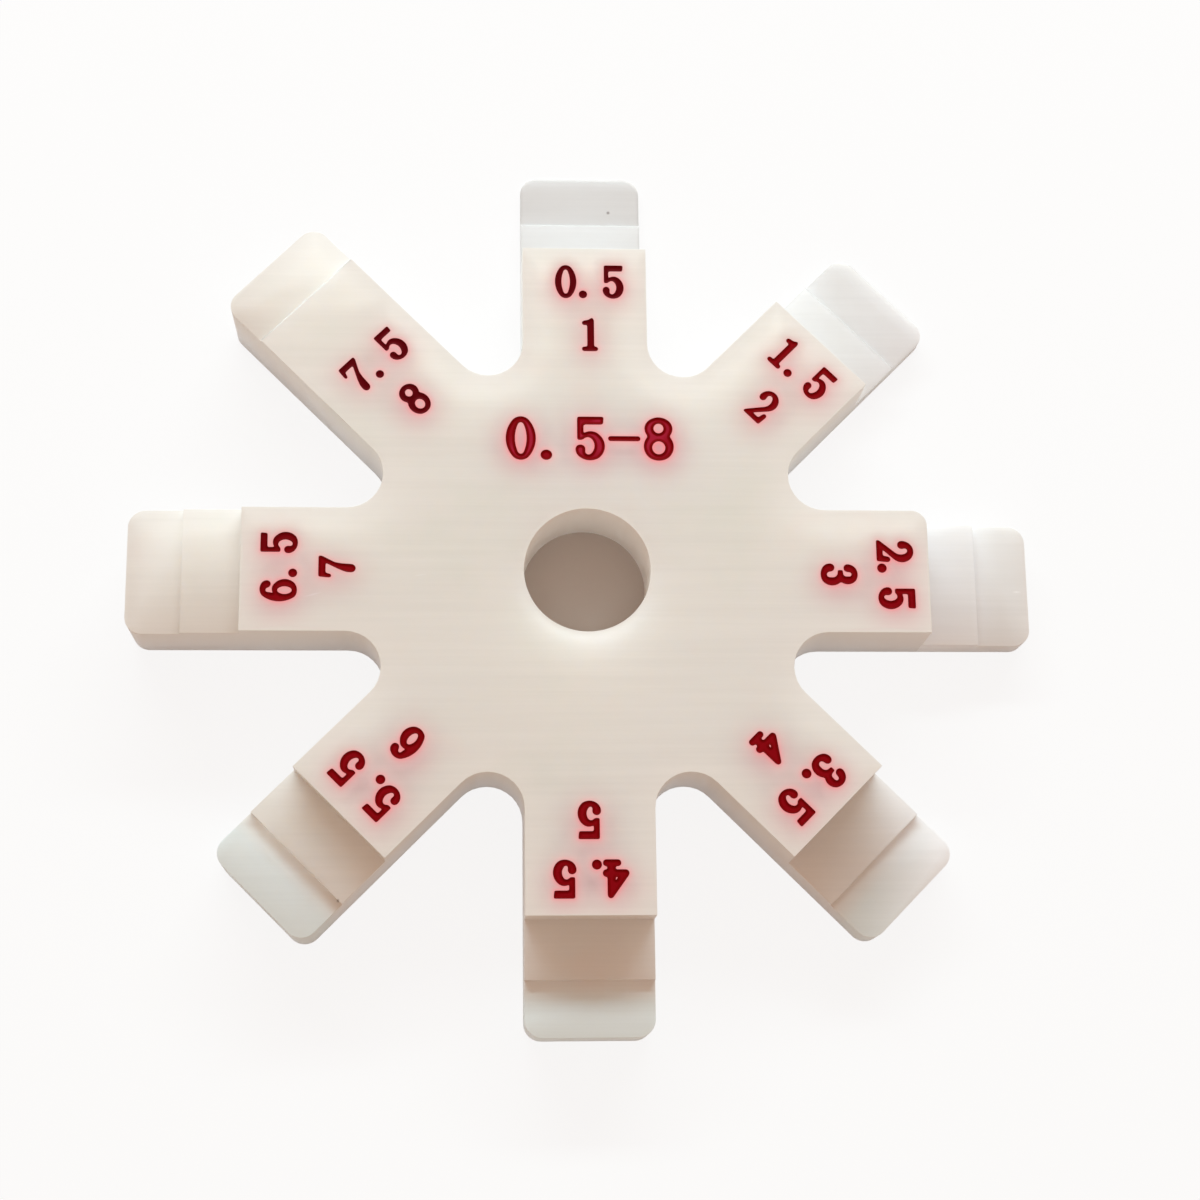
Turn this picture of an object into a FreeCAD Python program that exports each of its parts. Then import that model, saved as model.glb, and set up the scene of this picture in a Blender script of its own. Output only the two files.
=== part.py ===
import FreeCAD, Part
import math
import os

# Gap and flush gauge: one flat plastic star of eight stepped fingers round a plain bore,
# with the size of every tread engraved beside it and filled with paint.
# Lengths are in millimetres. The origin is the centre of the bore on the underside,
# +Z points up through the bore and +Y points along the thinnest finger.

# Gauge sizes: each finger holds two, so the last and thickest is the body's thickness.
finger_count = 8
size_increment = 0.5

# Star outline
finger_width = 12.0
tip_reach = 43.2
outer_tread_length = 5.2
inner_tread_length = 5.5
tip_corner_radius = 1.65
valley_radius = 3.4
bore_diameter = 12.0

# The step at the end of one finger's body has a rounded corner, on its left.
rounded_finger = 2
step_corner_radius = 1.5

# Numerals, with the bare face left between them, between their two rows,
# and between the outer row and the step that ends the finger's body
numeral_height = 3.4
numeral_width = 2.04
numeral_gap = 0.26
row_gap = 2.03
step_gap = 1.7
point_radius = 0.39
facet_rise = 0.012

# The engraver cut heavier on some fingers than on others. From the thinnest finger on,
# clockwise, the strokes of a finger's numerals are wider than drawn by this on every side.
stroke_growths = (0.035, 0.04, 0.085, 0.09, 0.09, 0.075, 0.05, 0.03)

# The rows lie a little to the right of each finger's axis, and the engraver's set-up
# was a little off the milled star.
numeral_side_shift = 0.27
engraving_shift_x = 0.2
engraving_shift_y = -0.08

# Engraving and its paint, which dries a little below the face
engraving_depth = 0.4
paint_recess = 0.05

# Cutting tools run past the material by this much
cut_overrun = 1.0

# Worked out from the sizes above
finger_pitch = 360.0 / finger_count
half_pitch = math.radians(finger_pitch / 2)
half_width = finger_width / 2
body_thickness = 2 * finger_count * size_increment
middle_reach = tip_reach - outer_tread_length
body_reach = middle_reach - inner_tread_length
valley_reach = (half_width + valley_radius) / math.tan(half_pitch)
valley_bottom = (half_width + valley_radius) / math.sin(half_pitch) - valley_radius
half_numeral = numeral_width / 2
numeral_pitch = numeral_width + numeral_gap
row_spacing = numeral_height + row_gap
outer_row_reach = body_reach - step_gap - numeral_height / 2

UP = FreeCAD.Vector(0, 0, 1)


def finger_angle(number):
    """Direction of a finger in degrees, numbered clockwise from the thinnest, number 0."""
    return 90.0 - number * finger_pitch


def tread_size(number, row):
    """Thickness that a tread gauges: row 0 is a finger's outer tread and row 1 its inner."""
    return (2 * number + 1 + row) * size_increment


def on_finger(angle, along, across, height=0.0):
    """Point measured along a finger's axis, across it to the left, and up."""
    turn = FreeCAD.Rotation(UP, angle)
    return turn.multVec(FreeCAD.Vector(along, across, height))


def line(start, end):
    return Part.LineSegment(start, end).toShape()


def arc(start, middle, end):
    return Part.Arc(start, middle, end).toShape()


def finger_outline(angle):
    """Edges up one side of a finger, round its tip, down the other side and into the valley."""
    side = tip_reach - tip_corner_radius
    corner = half_width - tip_corner_radius
    bend = tip_corner_radius * math.sqrt(0.5)
    right_root = on_finger(angle, valley_reach, -half_width)
    right_side = on_finger(angle, side, -half_width)
    right_bend = on_finger(angle, side + bend, -corner - bend)
    right_tip = on_finger(angle, tip_reach, -corner)
    left_tip = on_finger(angle, tip_reach, corner)
    left_bend = on_finger(angle, side + bend, corner + bend)
    left_side = on_finger(angle, side, half_width)
    left_root = on_finger(angle, valley_reach, half_width)
    valley = on_finger(angle + finger_pitch / 2, valley_bottom, 0)
    next_root = on_finger(angle + finger_pitch, valley_reach, -half_width)
    return [
        line(right_root, right_side),
        arc(right_side, right_bend, right_tip),
        line(right_tip, left_tip),
        arc(left_tip, left_bend, left_side),
        line(left_side, left_root),
        arc(left_root, valley, next_root),
    ]


def star_blank():
    """The whole star at full thickness, before its treads are milled."""
    edges = []
    for number in range(finger_count):
        edges += finger_outline(number * finger_pitch + 90.0)
    return Part.Face(Part.Wire(edges)).extrude(UP * body_thickness)


def tread_cutter(number):
    """Stepped tool that mills one finger's two treads down to their sizes."""
    angle = finger_angle(number)
    top = body_thickness + cut_overrun
    end = tip_reach + cut_overrun
    edge = -half_width - cut_overrun
    profile = []
    floor = top
    for row, reach in ((1, body_reach), (0, middle_reach)):
        # The thickest finger keeps the body's full height on its inner tread.
        if tread_size(number, row) < body_thickness:
            profile.append((reach, floor))
            floor = tread_size(number, row)
            profile.append((reach, floor))
    profile += [(end, floor), (end, top)]
    corners = [on_finger(angle, along, edge, height) for along, height in profile]
    side = Part.Face(Part.makePolygon(corners + corners[:1]))
    return side.extrude(on_finger(angle, 0, -2 * edge))


def step_corner_cutter(number):
    """Tool that rounds the left corner of the step above one finger's inner tread."""
    angle = finger_angle(number)
    floor = tread_size(number, 1)
    start = body_reach - step_corner_radius
    side = half_width - step_corner_radius
    bend = step_corner_radius * math.sqrt(0.5)
    past_end = body_reach + cut_overrun
    past_side = half_width + cut_overrun
    round_start = on_finger(angle, start, half_width, floor)
    round_middle = on_finger(angle, start + bend, side + bend, floor)
    round_end = on_finger(angle, body_reach, side, floor)
    beyond = on_finger(angle, past_end, side, floor)
    outside = on_finger(angle, past_end, past_side, floor)
    beside = on_finger(angle, start, past_side, floor)
    edges = [
        arc(round_start, round_middle, round_end),
        line(round_end, beyond),
        line(beyond, outside),
        line(outside, beside),
        line(beside, round_start),
    ]
    height = body_thickness + cut_overrun - floor
    return Part.Face(Part.Wire(edges)).extrude(UP * height)


def bore_cutter():
    start = FreeCAD.Vector(0, 0, -cut_overrun)
    return Part.makeCylinder(bore_diameter / 2, body_thickness + 2 * cut_overrun, start, UP)


def spot(x, y):
    """Point in a numeral's box: x from -1 at its left to 1, y from 0 at its foot to 1."""
    return FreeCAD.Vector(x * half_numeral, y * numeral_height, 0)


def contour(start, *legs):
    """Closed outline in a numeral's box. A leg of two numbers is a straight line to a point,
    and a leg of four is an arc through the first point to the second, cut as short straight
    facets that rise no more than facet_rise from it."""
    corners = [spot(*start)]
    for leg in legs + (start,):
        end = spot(*leg[-2:])
        if len(leg) == 4:
            curve = arc(corners[-1], spot(*leg[:2]), end)
            facet_angle = 2 * math.acos(1 - facet_rise / curve.Curve.Radius)
            facets = math.ceil((curve.LastParameter - curve.FirstParameter) / facet_angle)
            corners += curve.discretize(Number=facets + 1)[1:]
        elif end.distanceToPoint(corners[-1]) > 1e-6:
            corners.append(end)
    corners[-1] = corners[0]
    return Part.makePolygon(corners)


def loop(middle, half_x, half_y):
    """Closed oval of four arcs in a numeral's box, taller than it is wide."""
    side = 0.55 * half_x
    end = 0.83 * half_y
    return contour(
        (-side, middle - end),
        (-half_x, middle, -side, middle + end),
        (0, middle + half_y, side, middle + end),
        (half_x, middle, side, middle - end),
        (0, middle - half_y, -side, middle - end),
    )


def numeral(outline, *holes):
    """Flat numeral with its enclosed islands left out."""
    return Part.Face([outline] + list(holes), "Part::FaceMakerBullseye")


def zero():
    return numeral(loop(0.5, 1, 0.5), loop(0.5, 0.44, 0.385))


def one():
    return numeral(contour(
        (-0.62, 0), (0.62, 0), (0.76, 0.06, 0.62, 0.12), (0.37, 0.12), (0.37, 0.94), (0.2, 1),
        (-0.1, 0.93), (-0.6, 0.905), (-0.74, 0.845, -0.6, 0.785), (-0.22, 0.79), (-0.22, 0.12),
        (-0.62, 0.12), (-0.76, 0.06, -0.62, 0),
    ))


def two():
    return numeral(contour(
        (-1, 0), (0.89, 0), (0.98, 0.29), (0.8, 0.345, 0.6, 0.3), (0.5, 0.13), (-0.3, 0.13),
        (0.75, 0.49), (0.99, 0.73, 0.6, 0.94), (0, 1, -0.55, 0.94), (-0.8, 0.85, -0.93, 0.685),
        (-0.6, 0.59, -0.32, 0.73), (-0.08, 0.88, 0.22, 0.84), (0.4, 0.7, 0.28, 0.52), (-1, 0.045),
    ))


def three():
    return numeral(contour(
        (-0.6, 0.05), (0, 0, 0.62, 0.05), (1, 0.28, 0.62, 0.545), (0.88, 0.77, 0.55, 0.95),
        (0, 1, -0.55, 0.95), (-0.78, 0.87, -0.91, 0.743), (-0.6, 0.648, -0.29, 0.76),
        (-0.02, 0.88, 0.27, 0.74), (0.2, 0.62, -0.05, 0.585), (-0.33, 0.585), (-0.33, 0.486),
        (-0.05, 0.486), (0.28, 0.42, 0.36, 0.27), (0.02, 0.125, -0.345, 0.24),
        (-0.66, 0.355, -0.97, 0.26), (-0.85, 0.12, -0.6, 0.05),
    ))


def four():
    outline = contour(
        (-0.35, 0), (0.9, 0), (1.03, 0.067, 0.9, 0.135), (0.62, 0.135), (0.62, 0.27),
        (0.92, 0.27), (1.05, 0.345, 0.92, 0.42), (0.62, 0.42), (0.62, 0.95),
        (0.41, 1, 0.2, 0.95), (-1.12, 0.4), (-1.2, 0.33, -1.05, 0.27), (0.045, 0.27),
        (0.045, 0.135), (-0.35, 0.135), (-0.48, 0.067, -0.35, 0),
    )
    return numeral(outline, contour((-0.42, 0.42), (0.045, 0.42), (0.045, 0.63)))


def five():
    return numeral(contour(
        (-0.6, 0.055), (0, 0, 0.6, 0.055), (1, 0.33, 0.62, 0.59), (0.1, 0.665, -0.46, 0.6),
        (-0.46, 0.835), (0.88, 0.835), (0.93, 1), (-0.83, 1), (-0.83, 0.475), (-0.5, 0.475),
        (-0.15, 0.545, 0.16, 0.5), (0.36, 0.33, 0.16, 0.16), (-0.1, 0.11, -0.37, 0.21),
        (-0.65, 0.355, -0.97, 0.26), (-0.85, 0.13, -0.6, 0.055),
    ))


def six():
    outline = contour(
        (-0.6, 0.06), (0, 0, 0.6, 0.055), (1.02, 0.33, 0.6, 0.6), (0.12, 0.665, -0.36, 0.6),
        (-0.22, 0.76), (0.05, 0.87, 0.27, 0.8), (0.58, 0.715, 0.9, 0.8), (0.82, 0.9, 0.6, 0.96),
        (0.1, 1, -0.5, 0.93), (-1.02, 0.48, -0.6, 0.06),
    )
    return numeral(outline, loop(0.33, 0.42, 0.22))


def seven():
    return numeral(contour(
        (-0.5, 0.11), (-0.15, 0, 0.21, 0.11), (0.27, 0.39), (0.38, 0.57), (1, 0.93), (1, 1),
        (-0.9, 1), (-1, 0.7), (-0.86, 0.665, -0.72, 0.7), (-0.62, 0.83), (0.42, 0.83),
        (-0.23, 0.43), (-0.46, 0.25),
    ))


def eight():
    outline = contour(
        (-0.6, 0.055), (0, 0, 0.6, 0.055), (1, 0.28, 0.7, 0.56), (0.94, 0.76, 0.55, 0.95),
        (0, 1, -0.55, 0.95), (-0.94, 0.76, -0.7, 0.56), (-1, 0.28, -0.6, 0.055),
    )
    return numeral(outline, loop(0.743, 0.39, 0.126), loop(0.293, 0.49, 0.165))


def nine():
    turned = six()
    turned.rotate(spot(0, 0.5), UP, 180)
    return turned


def point():
    across = 2 * point_radius / half_numeral
    height = 2 * point_radius / numeral_height
    middle = across / 2 - 1
    return numeral(contour(
        (-1, height / 2), (middle, 0, across - 1, height / 2), (middle, height, -1, height / 2),
    ))


glyphs = {
    "0": zero, "1": one, "2": two, "3": three, "4": four,
    "5": five, "6": six, "7": seven, "8": eight, "9": nine, ".": point,
}


def size_outline(number, row):
    """Flat numerals of one tread's size, upright to someone looking out along the finger."""
    text = "%g" % tread_size(number, row)
    growth = stroke_growths[number % len(stroke_growths)]
    mitred = 2
    faces = []
    for place, character in enumerate(text):
        glyph = glyphs[character]().makeOffset2D(growth, mitred)
        middle = (place - (len(text) - 1) / 2) * numeral_pitch
        glyph.translate(FreeCAD.Vector(middle, -numeral_height / 2, 0))
        faces.append(glyph)
    angle = finger_angle(number)
    reach = outer_row_reach - row * row_spacing
    floor = on_finger(angle, reach, -numeral_side_shift, body_thickness - engraving_depth)
    floor += FreeCAD.Vector(engraving_shift_x, engraving_shift_y, 0)
    outline = Part.makeCompound(faces)
    outline.Placement = FreeCAD.Placement(floor, FreeCAD.Rotation(UP, angle - 90.0))
    return outline


def build():
    """Every node of the gauge, by name."""
    nodes = {}
    cutters = [bore_cutter(), step_corner_cutter(rounded_finger)]
    for number in range(finger_count):
        cutters.append(tread_cutter(number))
        for row, tread in enumerate(("outer", "inner")):
            outline = size_outline(number, row)
            cutters.append(outline.extrude(UP * (engraving_depth + cut_overrun)))
            paint = outline.extrude(UP * (engraving_depth - paint_recess))
            nodes["finger_%d_%s_size_paint" % (number + 1, tread)] = paint
    nodes["gauge_body"] = star_blank().cut(cutters)
    return nodes


os.makedirs("parts", exist_ok=True)
for name, shape in build().items():
    shape.exportStep("parts/%s.step" % name)
    print(name, len(shape.Solids), "solids", round(shape.Volume, 3), "mm3")
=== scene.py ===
import math

import bmesh
import bpy
import numpy as np
from mathutils import Euler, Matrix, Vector
from mathutils.bvhtree import BVHTree
from mathutils.geometry import delaunay_2d_cdt


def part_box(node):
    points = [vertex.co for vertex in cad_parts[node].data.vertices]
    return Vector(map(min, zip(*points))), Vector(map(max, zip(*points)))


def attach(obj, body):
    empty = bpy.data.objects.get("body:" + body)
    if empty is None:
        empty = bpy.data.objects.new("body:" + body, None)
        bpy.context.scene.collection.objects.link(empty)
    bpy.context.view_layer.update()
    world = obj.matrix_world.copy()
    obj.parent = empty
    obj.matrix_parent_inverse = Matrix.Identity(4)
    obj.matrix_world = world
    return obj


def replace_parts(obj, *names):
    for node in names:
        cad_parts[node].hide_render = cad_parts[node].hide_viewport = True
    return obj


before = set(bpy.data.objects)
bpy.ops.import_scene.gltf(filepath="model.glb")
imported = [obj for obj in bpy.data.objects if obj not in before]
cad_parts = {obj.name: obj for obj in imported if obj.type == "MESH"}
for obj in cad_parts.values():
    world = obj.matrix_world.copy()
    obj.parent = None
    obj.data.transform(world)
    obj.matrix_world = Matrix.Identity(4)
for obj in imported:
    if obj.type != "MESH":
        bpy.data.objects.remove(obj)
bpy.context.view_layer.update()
body_low, body_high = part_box("gauge_body")

# Engraved outlines. A round cutter 0.4 mm deep writes the size of each tread beside it, upright
# to someone who looks out along the finger, and the gauge's range across the hub. The sizes are
# where the frame has them, and the range borrows their digits, larger, with a bar between.
face_height = body_high.z
engraved_depth = 0.0004
longest_edge = 0.0003
wear_spacing = 0.00008
wear_turns = 4
touching = 1e-7
weld = 1e-6
sharp_angle = math.radians(40)
finger_count = 8
finger_pitch = 2 * math.pi / finger_count


def flat_outline(mesh, longest=longest_edge):
    """Points and edges round the flat top of a mesh, with its long edges divided."""
    work = bmesh.new()
    work.from_mesh(mesh)
    bmesh.ops.remove_doubles(work, verts=work.verts, dist=touching)
    top = max(v.co.z for v in work.verts)
    tops = {f for f in work.faces if all(top - v.co.z < touching for v in f.verts)}
    rim = [e for e in work.edges if sum(f in tops for f in e.link_faces) == 1]
    places = {}
    points = []
    edges = []
    for edge in rim:
        start, end = edge.verts
        pieces = max(1, math.ceil(edge.calc_length() / longest))
        row = []
        for step in range(pieces + 1):
            key = start if step == 0 else end if step == pieces else (edge, step)
            if key not in places:
                places[key] = len(points)
                points.append(start.co.lerp(end.co, step / pieces).xy)
            row.append(places[key])
        edges += zip(row, row[1:])
    work.free()
    return np.array(points), np.array(edges)


def joined(parts):
    """Several outlines as one list of points and one of edges."""
    points = []
    edges = []
    for part_points, part_edges in parts:
        edges.append(part_edges + sum(len(p) for p in points))
        points.append(part_points)
    return np.concatenate(points), np.concatenate(edges)


def worn(points, edges):
    """The same outline with its corners rounded: even points, each averaged with its neighbours."""
    beside = {}
    for start, end in edges.tolist():
        beside.setdefault(start, []).append(end)
        beside.setdefault(end, []).append(start)
    loops = []
    while beside:
        row = [min(beside)]
        while row[-1] in beside:
            ways = [place for place in beside.pop(row[-1]) if place in beside]
            row.append(ways[0] if ways else row[0])
        loop = points[row]
        run = np.append(0, np.cumsum(np.hypot(*np.diff(loop, axis=0).T)))
        places = np.linspace(0, run[-1], math.ceil(run[-1] / wear_spacing), endpoint=False)
        loop = np.stack([np.interp(places, run, loop[:, 0]), np.interp(places, run, loop[:, 1])], axis=1)
        for _ in range(wear_turns):
            loop = (np.roll(loop, 1, axis=0) + 2 * loop + np.roll(loop, -1, axis=0)) / 4
        count = np.arange(len(loop))
        loops.append((loop, np.stack([count, np.roll(count, -1)], axis=1)))
    return joined(loops)


def turned(points, angle):
    """Points in the plane, turned about the origin."""
    cos, sin = math.cos(angle), math.sin(angle)
    return points @ np.array([[cos, sin], [-sin, cos]])


sizes = {}
for number in range(finger_count):
    for row, tread in enumerate(("outer", "inner")):
        size = (2 * number + 1 + row) * 0.5
        sizes[size] = "finger_%d_%s_size_paint" % (number + 1, tread)
outlines = {size: worn(*flat_outline(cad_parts[name].data)) for size, name in sizes.items()}

range_centre = Vector((0.00035, 0.0130))
range_height = 0.0044
range_digit_width = 0.0029
range_pitch = 0.0033
bar_length = 0.0031
bar_width = 0.0005
digit_height = 0.00347
digit_width = 0.00211
digit_pitch = 0.0023


def borrowed_digit(size, finger, place, length, cell):
    """Outline of the digit at a place in a size, stood upright and moved to a cell of the range."""
    points, edges = outlines[size]
    upright = turned(points, finger * finger_pitch)
    upright = upright - (upright.min(axis=0) + upright.max(axis=0)) / 2
    middle = (place - (length - 1) / 2) * digit_pitch
    kept = np.abs(upright[:, 0] - middle) < digit_pitch / 2
    order = np.cumsum(kept) - 1
    digit = (upright[kept] - (middle, 0)) * (range_digit_width / digit_width, range_height / digit_height)
    edges = order[edges[kept[edges[:, 0]]]]
    return digit + range_centre + ((cell - 2) * range_pitch, 0), edges


def range_bar(cell):
    """Bar with round ends in one cell of the range."""
    reach = bar_length / 2 - bar_width / 2
    turn = np.linspace(-math.pi / 2, math.pi / 2, 9)
    end = np.stack([np.cos(turn), np.sin(turn)], axis=1) * bar_width / 2 + (reach, 0)
    points = np.concatenate([end, -end])
    count = len(points)
    edges = np.array([(i, (i + 1) % count) for i in range(count)])
    return points + range_centre + ((cell - 2) * range_pitch, 0), edges


range_outline = joined([
    borrowed_digit(0.5, 0, 0, 3, 0),
    borrowed_digit(0.5, 0, 1, 3, 1),
    borrowed_digit(0.5, 0, 2, 3, 2),
    range_bar(3),
    borrowed_digit(8.0, -1, 0, 1, 4),
])
engraving = joined([*outlines.values(), range_outline])


def upright_wall(points, edges, low, high):
    """Corners and faces of the walls that stand on the edges of an outline."""
    count = len(points)
    corners = [(x, y, low) for x, y in points] + [(x, y, high) for x, y in points]
    faces = [(a, b, b + count, a + count) for a, b in edges.tolist()]
    return corners, faces


def flat_triangles(points, edges, extra):
    """Points and triangles that fill outlines but not their holes. Extra points join in.
    The triangles are found in millimetres."""
    places = [Vector(p) * 1000 for p in np.concatenate([points, extra]).tolist()]
    found = delaunay_2d_cdt(places, edges.tolist(), [], 1, 1e-5)
    corners = np.array(found[0]) / 1000
    triangles = np.array(found[2])
    x, y = corners[triangles].mean(axis=1).T
    filled = np.zeros(len(triangles), bool)
    for (x0, y0), (x1, y1) in points[edges].tolist():
        if y0 != y1:
            passed = (y > y0) != (y > y1)
            filled ^= passed & (x < x0 + (x1 - x0) * (y - y0) / (y1 - y0))
    return corners, triangles[filled].tolist()


def even_points(low, high, spacing):
    """Points over a rectangle, each the same distance from its neighbours."""
    across = np.arange(low[0], high[0], spacing)
    up = np.arange(low[1], high[1], spacing * math.sqrt(0.75))
    grid = np.stack(np.meshgrid(across, up), axis=-1)
    grid[1::2, :, 0] += spacing / 2
    return grid.reshape(-1, 2)


def distances(points, tree, height):
    """Distance of each point of the plane at a height from a tree of walls."""
    return np.array([tree.find_nearest((x, y, height))[3] for x, y in points.tolist()])


def add_part(work, corners, faces):
    """Add faces to a mesh in work, loose from the rest until it is closed."""
    made = [work.verts.new(corner) for corner in corners]
    for face in faces:
        work.faces.new([made[i] for i in face])


def closed_mesh(work, name):
    """Weld a mesh in work, turn its faces outwards, and mark its sharp edges and broken ones."""
    bmesh.ops.remove_doubles(work, verts=work.verts, dist=weld)
    bmesh.ops.delete(work, geom=[v for v in work.verts if not v.link_faces], context="VERTS")
    bmesh.ops.recalc_face_normals(work, faces=work.faces)
    for edge in work.edges:
        kinds = {face.material_index for face in edge.link_faces}
        edge.smooth = len(kinds) == 1 and edge.calc_face_angle(0) < sharp_angle
    for face in work.faces:
        face.smooth = True
        face.material_index = 0
    mesh = bpy.data.meshes.new(name)
    work.to_mesh(mesh)
    work.free()
    return mesh


engraved_floor = face_height - engraved_depth
engraved_walls = BVHTree.FromPolygons(*upright_wall(*engraving, engraved_floor, face_height))


# Star body. One block of white nylon, milled to a star of eight fingers round a plain bore,
# each finger with two treads that rise by half a millimetre from one tread to the next. Its
# edges are only just broken. The star is a rule, so nodes make it.
tip_reach = body_high.y
middle_reach = tip_reach - 0.0052
body_reach = middle_reach - 0.0055
finger_width = 0.012
size_step = 0.0005
tip_corner = 0.00165
rounded_finger = 2
step_corner = 0.0015
valley_radius = 0.0034
bore_radius = 0.006
edge_break = 0.00002
edge_rounds = 3
corner_facets = 12
nose_facets = 64
bore_facets = 96


class Socket:
    """A node's socket that reads as a value, so that sums on it add Math nodes."""

    def __init__(self, tree, socket=None):
        self.tree = tree
        self.socket = socket

    def node(self, kind, settings=None, inputs=None, output=0):
        """Add a node: first its settings, then the value or link of each socket."""
        made = self.tree.nodes.new(kind)
        for name, value in (settings or {}).items():
            if name == "stops":
                for place, colour in value[2:]:
                    made.color_ramp.elements.new(place)
                for stop, (place, colour) in zip(made.color_ramp.elements, value):
                    stop.position = place
                    stop.color = (*colour, 1)
            else:
                setattr(made, name, value)
        for name, value in (inputs or {}).items():
            for one in value if isinstance(value, list) else [value]:
                if isinstance(one, Socket):
                    self.tree.links.new(one.socket, made.inputs[name])
                else:
                    made.inputs[name].default_value = one
        return Socket(self.tree, made.outputs[output] if made.outputs else None)

    def maths(self, operation, *values):
        return self.node("ShaderNodeMath", {"operation": operation}, dict(enumerate(values)))

    def __add__(self, other):
        return self.maths("ADD", self, other)

    def __sub__(self, other):
        return self.maths("SUBTRACT", self, other)

    def __rsub__(self, other):
        return self.maths("SUBTRACT", other, self)

    def __mul__(self, other):
        return self.maths("MULTIPLY", self, other)

    def __truediv__(self, other):
        return self.maths("DIVIDE", self, other)

    def __rtruediv__(self, other):
        return self.maths("DIVIDE", other, self)

    def __gt__(self, other):
        return self.maths("GREATER_THAN", self, other)

    def __lt__(self, other):
        return self.maths("LESS_THAN", self, other)

    __radd__ = __add__
    __rmul__ = __mul__


star_sizes = {
    "Fingers": finger_count,
    "Thickness": face_height,
    "Size step": size_step,
    "Finger width": finger_width,
    "Tip reach": tip_reach,
    "Middle reach": middle_reach,
    "Body reach": body_reach,
    "Tip corner": tip_corner,
    "Rounded finger": rounded_finger,
    "Step corner": step_corner,
    "Valley radius": valley_radius,
    "Bore radius": bore_radius,
}


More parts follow.
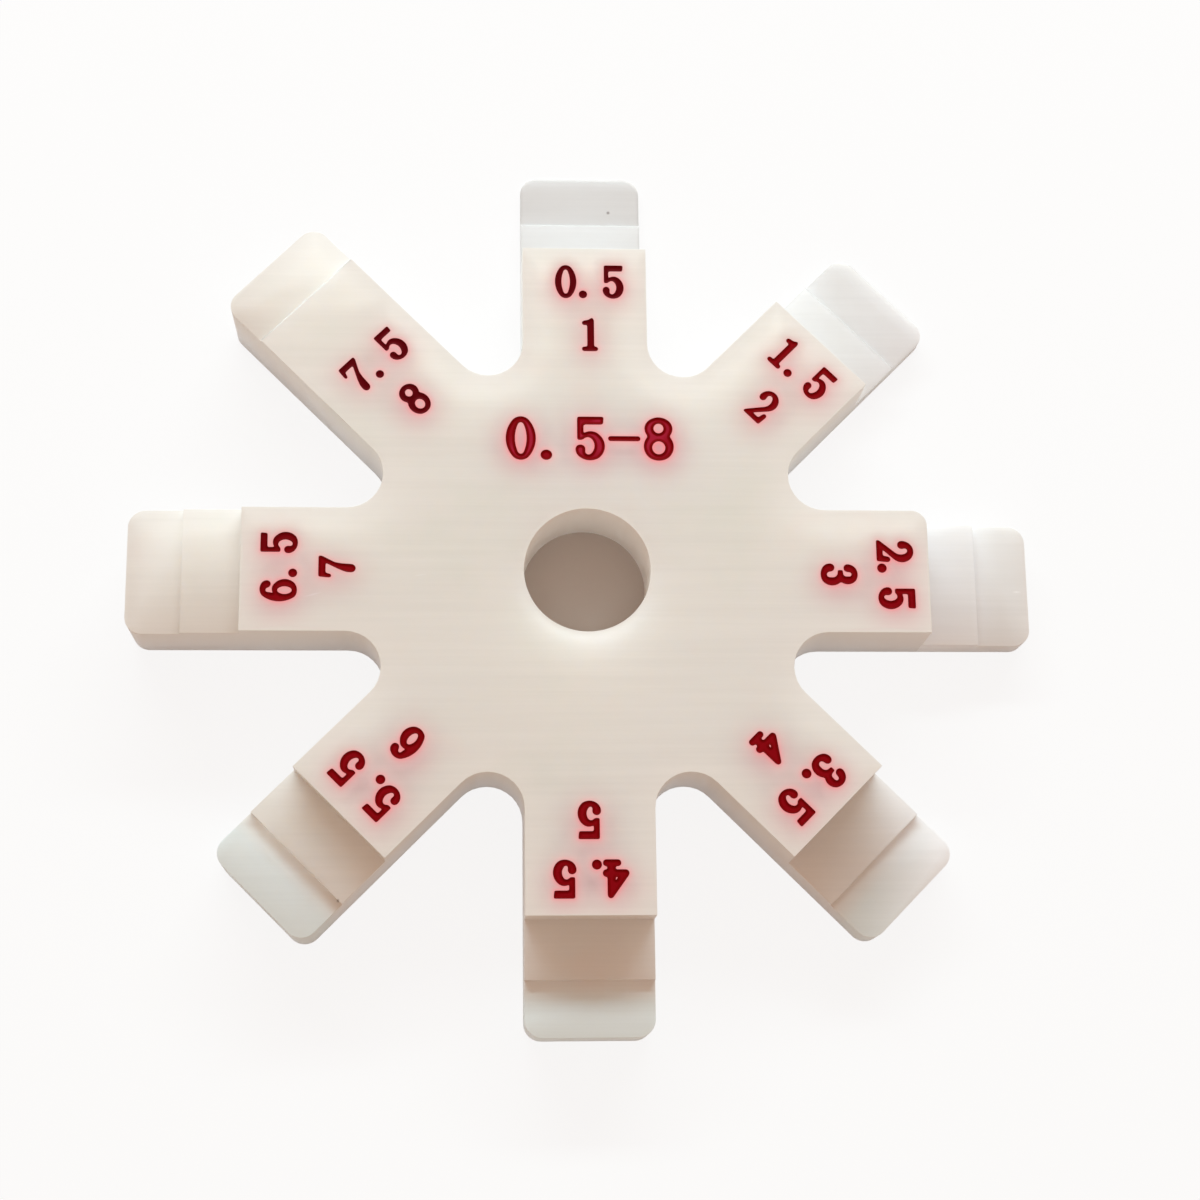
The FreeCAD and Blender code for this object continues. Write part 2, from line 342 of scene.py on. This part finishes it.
def star_nodes():
    """Node tree of the star: a filled outline made thick, less two blocks for each finger."""
    tree = bpy.data.node_groups.new("stepped_star", "GeometryNodeTree")
    for name, value in star_sizes.items():
        kind = "NodeSocketInt" if isinstance(value, int) else "NodeSocketFloat"
        tree.interface.new_socket(name, in_out="INPUT", socket_type=kind)
    tree.interface.new_socket("Star", in_out="OUTPUT", socket_type="NodeSocketGeometry")
    given = tree.nodes.new("NodeGroupInput")
    count, thickness, step, width, tip, middle, body, corner, rounded, nose, valley, bore = (
        Socket(tree, given.outputs[name]) for name in star_sizes
    )
    at = Socket(tree)
    index = at.node("GeometryNodeInputIndex")
    pitch = 2 * math.pi / count
    half_width = width / 2

    # Three corners for each finger: the right and left of its tip, then the valley after it.
    finger = at.maths("FLOOR", index / 3)
    role = index - finger * 3
    in_valley = role > 1.5
    root = half_width / at.maths("TANGENT", pitch / 2)
    along = in_valley * root + (1 - in_valley) * tip
    across = half_width * (2 * (role > 0.5) - 1)
    flat = at.node("ShaderNodeCombineXYZ", inputs={0: along, 1: across})
    turn = finger * pitch + math.pi / 2
    place = at.node("ShaderNodeVectorRotate", {"rotation_type": "Z_AXIS"}, {"Vector": flat, "Angle": turn})
    ring = at.node("GeometryNodeCurvePrimitiveCircle", inputs={"Resolution": count * 3})
    ring = at.node("GeometryNodeSetPosition", inputs={"Geometry": ring, "Position": place})
    rounding = in_valley * valley + (1 - in_valley) * corner
    outline = at.node("GeometryNodeFilletCurve", {"mode": "POLY"}, {
        "Curve": ring, "Count": corner_facets, "Radius": rounding,
    })
    hole = at.node("GeometryNodeCurvePrimitiveCircle", inputs={"Resolution": bore_facets, "Radius": bore})
    both = at.node("GeometryNodeJoinGeometry", inputs={0: [outline, hole]})
    plate = at.node("GeometryNodeFillCurve", {"mode": "NGONS"}, {"Curve": both})
    lift = at.node("ShaderNodeCombineXYZ", inputs={2: thickness})
    block = at.node("GeometryNodeExtrudeMesh", inputs={"Mesh": plate, "Offset": lift, "Individual": False})
    underside = at.node("GeometryNodeFlipFaces", inputs={"Mesh": plate})
    block = at.node("GeometryNodeJoinGeometry", inputs={0: [block, underside]})
    block = at.node("GeometryNodeMergeByDistance", inputs={"Geometry": block, "Distance": weld})

    # Two blocks to take away for each finger, outer and inner, numbered clockwise from +Y. They
    # run past the finger by a tenth of its width, and the thickest inner tread needs none.
    number = at.maths("FLOOR", index / 2)
    inner = index - number * 2
    size = (number * 2 + 1 + inner) * step
    start = inner * body + (1 - inner) * middle
    length = inner * (middle - body) + (1 - inner) * (tip - middle) + width / 10
    height = thickness - size + width / 10
    flat = at.node("ShaderNodeCombineXYZ", inputs={0: start + length / 2, 2: size + height / 2})
    turn = math.pi / 2 - number * pitch
    place = at.node("ShaderNodeVectorRotate", {"rotation_type": "Z_AXIS"}, {"Vector": flat, "Angle": turn})
    spots = at.node("GeometryNodePoints", inputs={"Count": count * 2, "Position": place})
    facing = at.node("ShaderNodeCombineXYZ", inputs={2: turn})
    spread = at.node("ShaderNodeCombineXYZ", inputs={0: length, 1: width * 1.2, 2: height})
    cube = at.node("GeometryNodeMeshCube")
    milled = at.node("GeometryNodeInstanceOnPoints", inputs={
        "Points": spots, "Selection": thickness > size * 1.001, "Instance": cube,
        "Rotation": facing, "Scale": spread,
    })

    # One more for the finger whose step has a round left corner: a block less a cylinder.
    middle_of_nose = at.node("ShaderNodeCombineXYZ", inputs={0: body - nose, 1: half_width - nose})
    size = (rounded * 2 + 2) * step
    rise = thickness - size + nose
    block_place = at.node("ShaderNodeCombineXYZ", inputs={0: nose, 1: nose, 2: size + rise / 2})
    block_size = at.node("ShaderNodeCombineXYZ", inputs={0: nose * 2, 1: nose * 2, 2: rise})
    shave = at.node("GeometryNodeTransform", inputs={
        "Geometry": cube, "Translation": block_place, "Scale": block_size,
    })
    post = at.node("GeometryNodeMeshCylinder", inputs={
        "Vertices": nose_facets, "Radius": nose, "Depth": thickness * 4,
    })
    shave = at.node("GeometryNodeMeshBoolean", {"operation": "DIFFERENCE", "solver": "EXACT"}, {
        "Mesh 1": shave, "Mesh 2": post,
    })
    shave = at.node("GeometryNodeTransform", inputs={"Geometry": shave, "Translation": middle_of_nose})
    facing = at.node("ShaderNodeCombineXYZ", inputs={2: math.pi / 2 - rounded * pitch})
    shave = at.node("GeometryNodeTransform", inputs={"Geometry": shave, "Rotation": facing})
    milled = at.node("GeometryNodeJoinGeometry", inputs={0: [milled, shave]})
    milled = at.node("GeometryNodeRealizeInstances", inputs={"Geometry": milled})
    star = at.node("GeometryNodeMeshBoolean", {"operation": "DIFFERENCE", "solver": "EXACT"}, {
        "Mesh 1": block, "Mesh 2": milled, "Self Intersection": True,
    })
    # Every fold gets a bevel weight, by which the edges are broken after the nodes.
    fold = at.node("GeometryNodeInputMeshEdgeAngle", output=1)
    star = at.node("GeometryNodeStoreNamedAttribute", {"data_type": "FLOAT", "domain": "EDGE"}, {
        "Geometry": star, "Name": "bevel_weight_edge", "Value": fold > 0.5,
    })
    star = at.node("GeometryNodeSetMaterial", inputs={"Geometry": star, "Material": nylon})
    at.node("NodeGroupOutput", inputs={"Star": star})
    return tree


nylon = bpy.data.materials.new("milled_nylon")
star = bpy.data.objects.new("milled_star", bpy.data.meshes.new("milled_star"))
star.data.materials.append(nylon)
star.data.materials.append(nylon)
bpy.context.scene.collection.objects.link(star)
nodes = star.modifiers.new("star", "NODES")
nodes.node_group = star_nodes()
for item in nodes.node_group.interface.items_tree:
    if item.in_out == "INPUT":
        nodes[item.identifier] = star_sizes[item.name]
broken = star.modifiers.new("broken edges", "BEVEL")
broken.limit_method = "WEIGHT"
broken.width = edge_break
broken.segments = edge_rounds
broken.use_clamp_overlap = False
broken.material = 1
bpy.context.view_layer.update()
evaluated = star.evaluated_get(bpy.context.evaluated_depsgraph_get())
plain_star = bpy.data.meshes.new_from_object(evaluated)
star.modifiers.clear()

# The face is filled again round the engraving, with points close together beside it, because
# each point keeps its distance from the paint and how much paint lies about it. The second
# material slot told the broken edges from the faces, and the closed mesh does without it.
clear_of_edges = 0.00006
face_points = (
    (0.00016, clear_of_edges, 0.0007),
    (0.0005, 0.0007, 0.0035),
    (0.002, 0.0035, 1),
)
rim = flat_outline(plain_star, longest=1)
rim_walls = BVHTree.FromPolygons(*upright_wall(*rim, face_height - 0.001, face_height + 0.001))
extra = []
for spacing, nearest, farthest in face_points:
    grid = even_points(body_low, body_high, spacing)
    near = np.hypot(*grid.T) > tip_reach
    for points, edges in [*outlines.values(), range_outline]:
        middle = (points.min(axis=0) + points.max(axis=0)) / 2
        half = (points.max(axis=0) - points.min(axis=0)) / 2 + farthest
        near |= (np.abs(grid - middle) < half).all(axis=1)
    grid = grid[near & (np.hypot(*grid.T) < tip_reach)]
    gaps = distances(grid, engraved_walls, face_height)
    grid = grid[(gaps > nearest) & (gaps <= farthest)]
    extra.append(grid[distances(grid, rim_walls, face_height) > clear_of_edges])
face, face_triangles = flat_triangles(*joined([rim, engraving]), np.concatenate(extra))
pocket, pocket_triangles = flat_triangles(*engraving, np.empty((0, 2)))
work = bmesh.new()
work.from_mesh(plain_star)
tops = [f for f in work.faces if all(face_height - v.co.z < touching for v in f.verts)]
bmesh.ops.delete(work, geom=tops, context="FACES")
add_part(work, [(x, y, face_height) for x, y in face], face_triangles)
add_part(work, *upright_wall(*engraving, engraved_floor, face_height))
add_part(work, [(x, y, engraved_floor) for x, y in pocket], pocket_triangles)
star.data = closed_mesh(work, "milled_star")
star.data.materials.append(nylon)

# Light that goes into the plastic comes back pink beside the paint, and is painted into the nylon's
# colour: closely round each stroke, and faintly, a little below it, round the whole number.
glow_reach = 0.0014
glow_shift = 0.0006
corners = np.array([v.co for v in star.data.vertices])
gaps = np.array([engraved_walls.find_nearest(corner)[3] for corner in corners.tolist()])
a, b, c = pocket[np.array(pocket_triangles)].transpose(1, 0, 2)
areas = np.abs((b - a)[:, 0] * (c - a)[:, 1] - (b - a)[:, 1] * (c - a)[:, 0]) / 2
glow = np.zeros(len(corners))
for (x, y), area in zip((a + b + c) / 3, areas):
    squared = (corners[:, 0] - x) ** 2 + (corners[:, 1] - y + glow_shift) ** 2
    glow += area * np.exp(-squared / (2 * glow_reach ** 2))
for name, values in (("paint_gap", gaps), ("paint_glow", glow / glow.max())):
    star.data.attributes.new(name, "FLOAT", "POINT").data.foreach_set("value", values)

nylon_white = (0.82, 0.80, 0.76)
nylon_pale = (0.835, 0.825, 0.80)
nylon_green = (0.79, 0.79, 0.74)
nylon_pink = (0.83, 0.775, 0.735)
nylon_thin = (0.77, 0.765, 0.77)
painted_light_bore = (0.97, 0.95, 0.92)
painted_window_cool = (0.765, 0.86, 0.875)
painted_light_white = (0.91, 0.93, 0.96)
painted_shade_grey = (0.36, 0.36, 0.36)
painted_glow_close = (1.0, 0.29, 0.33)
painted_glow_wide = (0.83, 0.43, 0.485)
thin_below = 0.007
above_underside = 0.0002
close_reach = 0.00025
lit_reach = 0.0005
end_reach = 0.00012
painted_shade_reach = 0.00007
blur_reach = 0.0012
speck_brown = (0.10, 0.06, 0.05)
scuff_pale = (0.95, 0.95, 0.95)
# A speck has its place, its size and its strength, and a scratch its place, its direction, its
# length, its width and its strength.
specks = (
    ((0.00291, 0.03961), 0.00022, 0.9),
    ((-0.02301, -0.03078), 0.00018, 0.8),
)
scratches = (
    ((-0.02571, -0.00252), math.radians(15), 0.0010, 0.00010, 0.8),
    ((0.04219, -0.00057), 0, 0.0005, 0.00012, 0.8),
    ((-0.01573, -0.00059), math.radians(8), 0.0007, 0.00006, 0.5),
)
nylon.use_nodes = True
nylon.node_tree.nodes.clear()
skin = Socket(nylon.node_tree)
spot = skin.node("ShaderNodeTexCoord", output="Object")


def noise(surface, vector, scale, detail, stretch=(1, 1, 1)):
    """Noise over a surface, with spots about 1 / scale metres across, stretched or not."""
    place = surface.node("ShaderNodeMapping", inputs={"Vector": vector, "Scale": stretch})
    return surface.node("ShaderNodeTexNoise", inputs={
        "Vector": place, "Scale": scale, "Detail": detail, "Roughness": 0.55,
    })


def mark(surface, vector, place, turn, length, width, strength):
    """1 at the middle of an oval mark, falling to 0 at its edge."""
    local = surface.node("ShaderNodeMapping", {"vector_type": "TEXTURE"}, {
        "Vector": vector, "Location": (*place, 0), "Rotation": (0, 0, turn), "Scale": (length, width, 1e3),
    })
    reach = surface.node("ShaderNodeVectorMath", {"operation": "LENGTH"}, {0: local}, output="Value")
    return surface.maths("MAXIMUM", 1 - reach, 0) * strength


def ramp(surface, value, *stops):
    """Colour ramp of a value through stops, each a place and a colour."""
    return surface.node("ShaderNodeValToRGB", {"stops": stops}, {"Fac": value})


def blend(surface, factor, below, above):
    """Mix of two colours."""
    return surface.node("ShaderNodeMix", {"data_type": "RGBA"}, {
        "Factor": factor, 6: below, 7: above,
    }, output=2)


def colour(values):
    """Colour as a socket takes it."""
    return (*values, 1)


cloud = noise(skin, spot, 90, 3)
drift = noise(skin, spot, 45, 2, stretch=(1, 1.6, 1))
mill = noise(skin, spot, 3200, 2, stretch=(0.018, 1, 0.02))
sweep = noise(skin, spot, 700, 2, stretch=(0.03, 1, 0.02))
tone = ramp(skin, cloud, (0.30, nylon_green), (0.48, nylon_white), (0.62, nylon_white), (0.75, nylon_pink))
pale = skin.node("ShaderNodeMapRange", inputs={"Value": drift, "From Min": 0.45, "From Max": 0.75})
tone = blend(skin, pale * 0.6, tone, colour(nylon_pale))
lines = skin.node("ShaderNodeMapRange", inputs={
    "Value": mill + sweep, "From Min": 0.7, "From Max": 1.3, "To Min": 0.975, "To Max": 1.015,
})
gap = skin.node("ShaderNodeAttribute", {"attribute_name": "paint_gap"}, output="Fac")
round_paint = skin.node("ShaderNodeAttribute", {"attribute_name": "paint_glow"}, output="Fac")
close = skin.maths("EXPONENT", gap / -close_reach) * (0.1 + 1.25 * round_paint)
rise = skin.node("ShaderNodeSeparateXYZ", inputs={"Vector": spot}, output="Z")
upper = rise > above_underside
thin = skin.maths("MAXIMUM", 1 - rise / thin_below, 0) * upper
tone = blend(skin, thin, tone, colour(nylon_thin))
reach = skin.node("ShaderNodeVectorMath", {"operation": "MULTIPLY"}, {0: spot, 1: (1, 1, 0)})
reach = skin.node("ShaderNodeVectorMath", {"operation": "LENGTH"}, {0: reach}, output="Value")
in_bore = 1 - (reach > bore_radius + edge_break)

# Along and across are measured on each finger, from the bore and from the finger's axis. Painted
# light makes the ends away from the window cooler and the foot of the body's east wall lighter,
# and painted shade darkens the upper edges of thin treads and small steps towards the window.
east, north = (skin.node("ShaderNodeSeparateXYZ", inputs={"Vector": spot}, output=way) for way in "XY")
turn = skin.maths("ARCTAN2", east, north)
turn = turn - skin.maths("ROUND", turn / finger_pitch) * finger_pitch
along = reach * skin.maths("COSINE", turn)
across = skin.maths("ABSOLUTE", reach * skin.maths("SINE", turn))
outer = skin.node("ShaderNodeMapRange", {"interpolation_type": "SMOOTHSTEP"}, {
    "Value": along, "From Min": middle_reach, "From Max": middle_reach + 0.0025,
})
# Painted light: the ends away from the window take a cool tint in place of the window's light.
painted_cool_side = skin.node("ShaderNodeMapRange", inputs={"Value": north, "From Min": -0.01, "From Max": -0.02})
tone = blend(skin, outer * painted_cool_side * upper, tone, colour(painted_window_cool))
# Painted light: the foot of the body's east wall is lighter.
foot = skin.node("ShaderNodeMapRange", inputs={"Value": east, "From Min": 0.0405, "From Max": 0.0345})
painted_light_east = skin.node("ShaderNodeMapRange", inputs={"Value": east, "From Min": 0.026, "From Max": 0.033})
tone = blend(skin, foot * painted_light_east * (along > body_reach) * upper, tone, colour(painted_light_white))
valley_across = finger_width / 2 + valley_radius
valley_along = valley_across / math.tan(finger_pitch / 2)
before_valley = skin.maths("MINIMUM", along - valley_along, 0)
beside_valley = valley_across - across
edge = skin.maths("SQRT", before_valley * before_valley + beside_valley * beside_valley) - valley_radius
edge = skin.maths("MINIMUM", edge, (reach - bore_radius) * 4)
for end in (body_reach, tip_reach):
    edge = skin.maths("MINIMUM", edge, skin.maths("ABSOLUTE", along - end))
from_step = skin.maths("ABSOLUTE", along - middle_reach)
# Painted light on both sides of the east finger's small step, which hides its shade.
painted_light_at_step = skin.maths("EXPONENT", from_step / -lit_reach)
tone = blend(skin, painted_light_at_step * painted_light_east * upper * 0.5, tone, colour(painted_light_white))
shaded = skin.node("ShaderNodeMapRange", inputs={"Value": north, "From Min": 0.015, "From Max": 0.005})
# Painted shade: the upper edges of thin treads and small steps on the window side are darkened.
at_end = skin.maths("EXPONENT", edge / -end_reach) * thin * 0.45
at_edge = skin.maths("EXPONENT", from_step / -painted_shade_reach) * (across < finger_width / 2 - 0.0001) * 0.9
off_level = skin.maths("ABSOLUTE", rise - skin.maths("ROUND", rise / size_step) * size_step)
painted_shade_edges = skin.maths("MAXIMUM", at_end, at_edge) * (1 - shaded) * upper * (off_level < edge_break * 1.5)
tone = blend(skin, painted_shade_edges, tone, colour(painted_shade_grey))
# Painted light: the bore's wall is lighter, as light through the plastic would make it.
tone = blend(skin, in_bore, tone, colour(painted_light_bore))
for place, size, strength in specks:
    speck = mark(skin, spot, place, 0, size, size, strength)
    tone = blend(skin, speck * upper, tone, colour(speck_brown))
for place, direction, length, width, strength in scratches:
    scratch = mark(skin, spot, place, direction, length, width, strength)
    tone = blend(skin, scratch * upper, tone, colour(scuff_pale))
# Painted light: the pink glow beside the paint is painted into the nylon's colour.
tone = blend(skin, round_paint * 0.97, tone, colour(painted_glow_wide))
tone = blend(skin, close, tone, colour(painted_glow_close))
shade = skin.node("ShaderNodeCombineXYZ", inputs={0: lines, 1: lines, 2: lines})
tone = skin.node("ShaderNodeVectorMath", {"operation": "MULTIPLY"}, {0: tone, 1: shade})
height = 0.6 * mill + 0.4 * sweep
relief = skin.node("ShaderNodeBump", inputs={
    "Strength": 0.35, "Distance": 0.00001, "Height": height,
}, output="Normal")
rough = skin.node("ShaderNodeMapRange", inputs={
    "Value": 0.5 * mill + 0.5 * cloud, "From Min": 0.3, "From Max": 0.7, "To Min": 0.36, "To Max": 0.50,
})
plain, milky = (skin.node("ShaderNodeBsdfPrincipled", {"subsurface_method": "RANDOM_WALK"}, {
    "Base Color": tone, "Roughness": rough, "Normal": relief, "IOR": 1.5, "Subsurface Weight": weight,
    "Subsurface Radius": (1.0, 0.88, 0.76), "Subsurface Scale": 0.012,
}) for weight in (0, 1))

# Light spreads far through the plastic where it is thick, less in thin treads and beside the
# paint, and less at the milled edges. It blurs the small step between two treads.
deep = skin.node("ShaderNodeMapRange", {"interpolation_type": "SMOOTHSTEP"}, {
    "Value": edge, "From Min": 0, "From Max": 0.003, "To Min": 0.15, "To Max": 0.8,
})
less = skin.node("ShaderNodeMapRange", {"interpolation_type": "SMOOTHSTEP"}, {
    "Value": along, "From Min": body_reach, "From Max": tip_reach, "To Min": 1, "To Max": 0.55,
})
at_step = skin.maths("EXPONENT", from_step / -blur_reach)
thick = skin.node("ShaderNodeMapRange", {"interpolation_type": "SMOOTHSTEP"}, {
    "Value": rise, "From Min": 0.002, "From Max": 0.006,
})
close_by = skin.node("ShaderNodeMapRange", inputs={"Value": gap, "From Min": 0.0001, "From Max": 0.0012})
soft = at_step * deep * shaded * thick * 1.2
spread = skin.maths("MAXIMUM", thick * deep * less + (1 - thick) * 0.22, soft)
spread = spread * close_by * (1 - in_bore)
plastic = skin.node("ShaderNodeMixShader", inputs={0: spread, 1: plain, 2: milky})
skin.node("ShaderNodeOutputMaterial", inputs={"Surface": plastic})
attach(star, "root")
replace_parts(star, "gauge_body")

# Paint in the numbers. Red enamel run into each engraved size and left to sink, so that it
# stands a little below the face, lowest in the middle of its strokes. It is darkest at its edges,
# partly painted shade of the pocket's wall, and on the fingers towards the window. A painted
# highlight lies only in the wide strokes of the range.
paint_drop = 0.000015
paint_sink = 0.00006
sink_reach = 0.00025
paint_spacing = 0.0001
red_dark = (0.13, 0.0006, 0.002)
red_full = (0.20, 0.0006, 0.002)
red_pale = (0.26, 0.002, 0.006)
painted_highlight_red = (0.50, 0.025, 0.07)
red_deep = (0.105, 0.0006, 0.003)
hub_reach = 0.0175
enamel = bpy.data.materials.new("red_enamel")


def paint_fill(name, points, edges):
    """Closed piece of paint in an engraved outline, sunk in the middle of its strokes."""
    rim = face_height - paint_drop
    walls = BVHTree.FromPolygons(*upright_wall(points, edges, engraved_floor, face_height))
    grid = even_points(points.min(axis=0), points.max(axis=0), paint_spacing)
    flat, triangles = flat_triangles(points, edges, grid[distances(grid, walls, rim) > paint_spacing / 2])
    gaps = distances(flat, walls, rim)
    ease = np.minimum(gaps / sink_reach, 1)
    heights = rim - paint_sink * ease ** 2 * (3 - 2 * ease)
    work = bmesh.new()
    add_part(work, [(x, y, z) for (x, y), z in zip(flat, heights)], triangles)
    add_part(work, *upright_wall(points, edges, engraved_floor, rim))
    flat, triangles = flat_triangles(points, edges, np.empty((0, 2)))
    add_part(work, [(x, y, engraved_floor) for x, y in flat], triangles)
    fill = bpy.data.objects.new(name, closed_mesh(work, name))
    fill.data.materials.append(enamel)
    bpy.context.scene.collection.objects.link(fill)
    inside = [(v.co.x, v.co.y) for v in fill.data.vertices]
    gaps = distances(np.array(inside), walls, rim)
    fill.data.attributes.new("edge_gap", "FLOAT", "POINT").data.foreach_set("value", gaps)
    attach(fill, "root")
    return fill


for size, name in sizes.items():
    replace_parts(paint_fill(name.replace("paint", "fill"), *outlines[size]), name)
paint_fill("range_mark_fill", *range_outline)

enamel.use_nodes = True
enamel.node_tree.nodes.clear()
coat = Socket(enamel.node_tree)
spot = coat.node("ShaderNodeTexCoord", output="Object")
gap = coat.node("ShaderNodeAttribute", {"attribute_name": "edge_gap"}, output="Fac")
patch = noise(coat, spot, 2500, 2)
grain = noise(coat, spot, 9000, 2)
depth = gap / 0.00042 + (patch - 0.5) * 0.35
# Darker at the strokes' edges, partly painted shade of the pocket's wall, and paler in their middle, partly a
# painted sheen.
red = ramp(coat, depth, (0.08, red_dark), (0.30, red_full), (0.50, red_full), (0.80, red_pale))
flat = coat.node("ShaderNodeVectorMath", {"operation": "MULTIPLY"}, {0: spot, 1: (1, 1, 0)})
reach = coat.node("ShaderNodeVectorMath", {"operation": "LENGTH"}, {0: flat}, output="Value")
# Painted highlight down the middle of the range's wide strokes.
painted_highlight = coat.node("ShaderNodeMapRange", {"interpolation_type": "SMOOTHSTEP"}, {
    "Value": gap, "From Min": 0.00022, "From Max": 0.00036, "To Max": 0.55,
})
painted_highlight = painted_highlight * coat.node("ShaderNodeMapRange", inputs={
    "Value": noise(coat, spot, 330, 1), "From Min": 0.42, "From Max": 0.55, "To Min": 0.15,
})
red = blend(coat, painted_highlight * (1 - (reach > hub_reach)), red, colour(painted_highlight_red))
north_west = coat.node("ShaderNodeVectorMath", {"operation": "DOT_PRODUCT"}, {
    0: spot, 1: (-0.5, 0.85, 0),
}, output="Value")
north_west = coat.node("ShaderNodeMapRange", inputs={
    "Value": north_west, "From Min": 0.012, "From Max": 0.022,
})
red = blend(coat, north_west * (reach > hub_reach), red, colour(red_deep))
relief = coat.node("ShaderNodeBump", inputs={
    "Strength": 0.4, "Distance": 0.00001, "Height": grain,
}, output="Normal")
rough = coat.node("ShaderNodeMapRange", inputs={"Value": grain, "To Min": 0.32, "To Max": 0.52})
enamelled = coat.node("ShaderNodeBsdfPrincipled", inputs={
    "Base Color": red, "Roughness": rough, "Normal": relief, "Specular IOR Level": 0.03,
})
coat.node("ShaderNodeOutputMaterial", inputs={"Surface": enamelled})

# Table. A plain pale sheet under the gauge. The camera sees it near white, with the gauge's
# soft shadow; inside the bore's circle it is darker brown and not lifted, painted shade.
table_white = (0.88, 0.87, 0.86)
bore_painted_shade = (0.57, 0.51, 0.47)
table_lift = 0.87
table_reach = 2
table_top = -2e-5
table_corners = [
    (x * table_reach, y * table_reach, table_top) for x, y in ((-1, -1), (1, -1), (1, 1), (-1, 1))
]
floor_mesh = bpy.data.meshes.new("table")
floor_mesh.from_pydata(table_corners, [], [(0, 1, 2, 3)])
floor = bpy.data.objects.new("table", floor_mesh)
bpy.context.scene.collection.objects.link(floor)
sheet = bpy.data.materials.new("pale_table")
sheet.use_nodes = True
sheet.node_tree.nodes.clear()
floor_mesh.materials.append(sheet)
paper = Socket(sheet.node_tree)


def seen(surface):
    """1 for what the camera sees, straight or in gloss or glass, and 0 for light on the object."""
    kinds = ("Camera", "Glossy", "Transmission")
    rays = [surface.node("ShaderNodeLightPath", output="Is %s Ray" % kind) for kind in kinds]
    return surface.maths("MINIMUM", rays[0] + rays[1] + rays[2], 1)


spot = paper.node("ShaderNodeTexCoord", output="Object")
from_middle = paper.node("ShaderNodeVectorMath", {"operation": "LENGTH"}, {0: spot}, output="Value")
# Painted shade: the floor inside the bore's circle is brown, and the camera sees it unlifted.
outside = from_middle > bore_radius
tint = blend(paper, outside, colour(bore_painted_shade), colour(table_white))
diffuse = paper.node("ShaderNodeBsdfDiffuse", inputs={"Color": tint})
white = paper.node("ShaderNodeEmission", inputs={"Color": (1, 1, 1, 1), "Strength": 1})
both = paper.node("ShaderNodeMixShader", inputs={0: outside * seen(paper) * table_lift, 1: diffuse, 2: white})
paper.node("ShaderNodeOutputMaterial", inputs={"Surface": both})

# Light. A long soft window, low beyond the thinnest finger, and a warm even fill from all round.
window_height = math.radians(25.5)
window_away = 0.7
window_size = (0.95, 0.06)
window_colour = (0.76, 0.94, 1.0)
window_power = 7.5
fill_colour = (0.53, 0.355, 0.255)
window = bpy.data.objects.new("window", bpy.data.lights.new("window", "AREA"))
window.data.shape = "RECTANGLE"
window.data.size, window.data.size_y = window_size
window.data.energy = window_power
window.data.color = window_colour
window.location = (0, window_away * math.cos(window_height), window_away * math.sin(window_height))
window.rotation_euler = Vector(window.location).to_track_quat("Z", "Y").to_euler()
bpy.context.scene.collection.objects.link(window)
world = bpy.data.worlds.new("room")
bpy.context.scene.world = world
world.use_nodes = True
world.node_tree.nodes.clear()
room = Socket(world.node_tree)
fill = room.node("ShaderNodeBackground", inputs={"Color": colour(fill_colour)})
white = room.node("ShaderNodeBackground", inputs={"Color": (1, 1, 1, 1)})
both = room.node("ShaderNodeMixShader", inputs={0: seen(room), 1: fill, 2: white})
room.node("ShaderNodeOutputWorld", inputs={"Surface": both})

# Camera. It stands almost over the gauge, leaning back a little towards the 4.5 finger's side.
view_turn = Euler((0.2536, -0.0605, -0.0119))
view_offset = Vector((0.001652, -0.0008554, 0.2272567))
camera = bpy.data.objects.new("camera", bpy.data.cameras.new("camera"))
camera.data.lens = 69.94
camera.data.sensor_width = 36
camera.rotation_euler = view_turn
camera.location = view_turn.to_matrix() @ view_offset
bpy.context.scene.collection.objects.link(camera)
bpy.context.scene.camera = camera

bpy.context.scene.view_settings.view_transform = "Standard"
